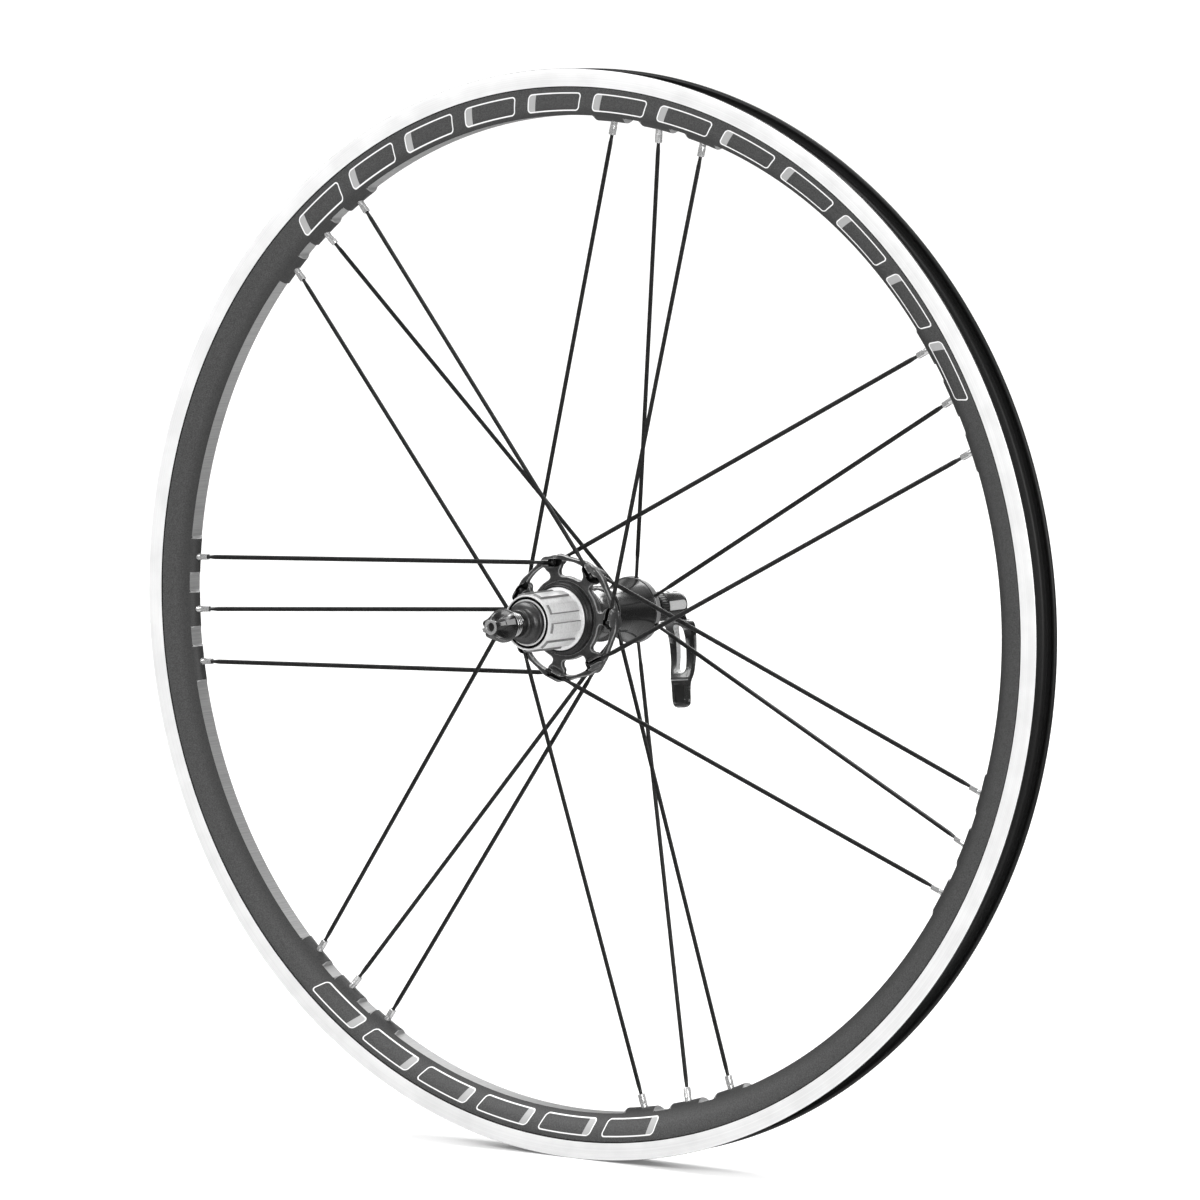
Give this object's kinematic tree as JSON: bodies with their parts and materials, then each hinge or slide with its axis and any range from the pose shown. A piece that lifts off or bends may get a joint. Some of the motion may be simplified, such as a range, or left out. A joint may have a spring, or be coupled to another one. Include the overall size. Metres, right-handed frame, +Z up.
{
  "type": "bicycle rear wheel",
  "caption": "Rim-brake clincher rear wheel with bladed straight-pull spokes grouped in threes, splined freehub, pawl ratchet and quick-release skewer with cam lever.",
  "frame": {"origin": "centre of the wheel: on the axle's axis, in the middle plane of the rim", "axes": "+Y along the axle towards the lever side, the splined drive side faces -Y, +Z up, +X forward"},
  "size_m": [0.6339, 0.191, 0.634],
  "materials": {
    "rim_anodised": "dark grey anodised, machined silver brake tracks, milled inner edge",
    "hub_alloy": "dark anodised, polished tube",
    "spoke_black": "black",
    "nipple_silver": "bright",
    "freehub_alloy": "pale satin anodised",
    "axle_alloy": "turned",
    "dark_alloy": "black anodised",
    "bearing_steel": "ground",
    "ball_steel": "polished",
    "cage_nylon": "moulded",
    "seal_rubber": "moulded",
    "hardened_steel": "ground",
    "spring_steel": "bright wire",
    "rod_steel": "drawn",
    "lever_alloy": "dark polished",
    "cap_black": "black, knurled",
    "nut_black": "black gloss anodised",
    "insert_brass": "turned"
  },
  "bodies": {
    "axle": {"axle_shaft": "axle_alloy", "drive_end_cap": "dark_alloy", "left_end_cap": "dark_alloy", "drive_cone": "bearing_steel", "left_cone": "bearing_steel", "left_adjuster_ring": "dark_alloy", "adjuster_pinch_screw": "rod_steel", "freehub_inner_races": "bearing_steel", "freehub_bearing_spacer": "axle_alloy"},
    "wheel": {"rim": "rim_anodised", "hub_shell": "hub_alloy", "drive_front_spokes": "spoke_black", "drive_back_spokes": "spoke_black", "left_spokes": "spoke_black", "spoke_nipples": "nipple_silver", "drive_bearing_cup": "bearing_steel", "left_bearing_cup": "bearing_steel", "left_dust_seal": "seal_rubber", "ratchet_ring": "hardened_steel"},
    "drive_balls": {"drive_bearing_balls": "ball_steel", "drive_ball_cage": "cage_nylon"},
    "left_balls": {"left_bearing_balls": "ball_steel", "left_ball_cage": "cage_nylon"},
    "freehub": {"freehub_body": "freehub_alloy", "freehub_seal": "seal_rubber", "freehub_outer_races": "bearing_steel", "pawl_spring": "spring_steel"},
    "freehub_balls": {"freehub_bearing_balls": "ball_steel"},
    "pawl_a": {"pawl_1": "hardened_steel"},
    "pawl_b": {"pawl_2": "hardened_steel"},
    "pawl_c": {"pawl_3": "hardened_steel"},
    "skewer_cap": {"qr_cap_ring": "cap_black", "qr_cam_housing": "lever_alloy", "lever_spring": "spring_steel"},
    "lever": {"qr_lever": "lever_alloy", "cam_shaft": "rod_steel"},
    "rod": {"skewer_rod": "rod_steel"},
    "nut_carrier": {"nut_spring": "spring_steel"},
    "nut": {"qr_nut": "nut_black", "nut_insert": "insert_brass"}
  },
  "joints": [
    {"name": "wheel_spin", "type": "hinge", "parent": "axle", "child": "wheel", "pos_m": [0, 0, 0], "axis": [0, 1, 0], "continuous": true},
    {"name": "freehub_spin", "type": "hinge", "parent": "axle", "child": "freehub", "pos_m": [0, 0, 0], "axis": [0, 1, 0], "continuous": true},
    {"name": "drive_balls_roll", "type": "hinge", "parent": "axle", "child": "drive_balls", "pos_m": [0, 0, 0], "axis": [0, 1, 0], "continuous": true},
    {"name": "left_balls_roll", "type": "hinge", "parent": "axle", "child": "left_balls", "pos_m": [0, 0, 0], "axis": [0, 1, 0], "continuous": true},
    {"name": "freehub_balls_roll", "type": "hinge", "parent": "axle", "child": "freehub_balls", "pos_m": [0, 0, 0], "axis": [0, 1, 0], "continuous": true},
    {"name": "pawl_a_fold", "type": "hinge", "parent": "freehub", "child": "pawl_a", "pos_m": [0.014, -0.016, 0], "axis": [0, -1, 0], "range_deg": [0, 14.7]},
    {"name": "pawl_b_fold", "type": "hinge", "parent": "freehub", "child": "pawl_b", "pos_m": [-0.007, -0.016, 0.01212], "axis": [0, -1, 0], "range_deg": [0, 14.7]},
    {"name": "pawl_c_fold", "type": "hinge", "parent": "freehub", "child": "pawl_c", "pos_m": [-0.007, -0.016, -0.01212], "axis": [0, -1, 0], "range_deg": [0, 14.7]},
    {"name": "skewer_float", "type": "slide", "parent": "axle", "child": "skewer_cap", "axis": [0, 1, 0], "range_m": [0, 0.006], "deforming": ["nut_spring"]},
    {"name": "lever_cam", "type": "hinge", "parent": "skewer_cap", "child": "lever", "pos_m": [0, 0.0886, 0], "axis": [0.9962, 0, 0.0872], "range_deg": [0, 180]},
    {"name": "rod_pull", "type": "slide", "parent": "skewer_cap", "child": "rod", "axis": [0, 1, 0], "range_m": [-0.00201, 0]},
    {"name": "nut_travel", "type": "slide", "parent": "rod", "child": "nut_carrier", "axis": [0, -1, 0], "range_m": [0, 0.01301]},
    {"name": "nut_turn", "type": "hinge", "parent": "nut_carrier", "child": "nut", "pos_m": [0, 0, 0], "axis": [0, -1, 0], "range_deg": [0, 5850]}
  ],
  "couplings": [
    {"joint": "drive_balls_roll", "follows": "wheel_spin", "ratio": 0.5855},
    {"joint": "left_balls_roll", "follows": "wheel_spin", "ratio": 0.5855},
    {"joint": "freehub_balls_roll", "follows": "freehub_spin", "ratio": 0.5692},
    {"joint": "pawl_b_fold", "follows": "pawl_a_fold", "ratio": 1},
    {"joint": "pawl_c_fold", "follows": "pawl_a_fold", "ratio": 1},
    {"joint": "rod_pull", "follows": "lever_cam", "m_per_rad": -0.00063662},
    {"joint": "nut_travel", "follows": "nut_turn", "m_per_rad": 0.00012732}
  ]
}
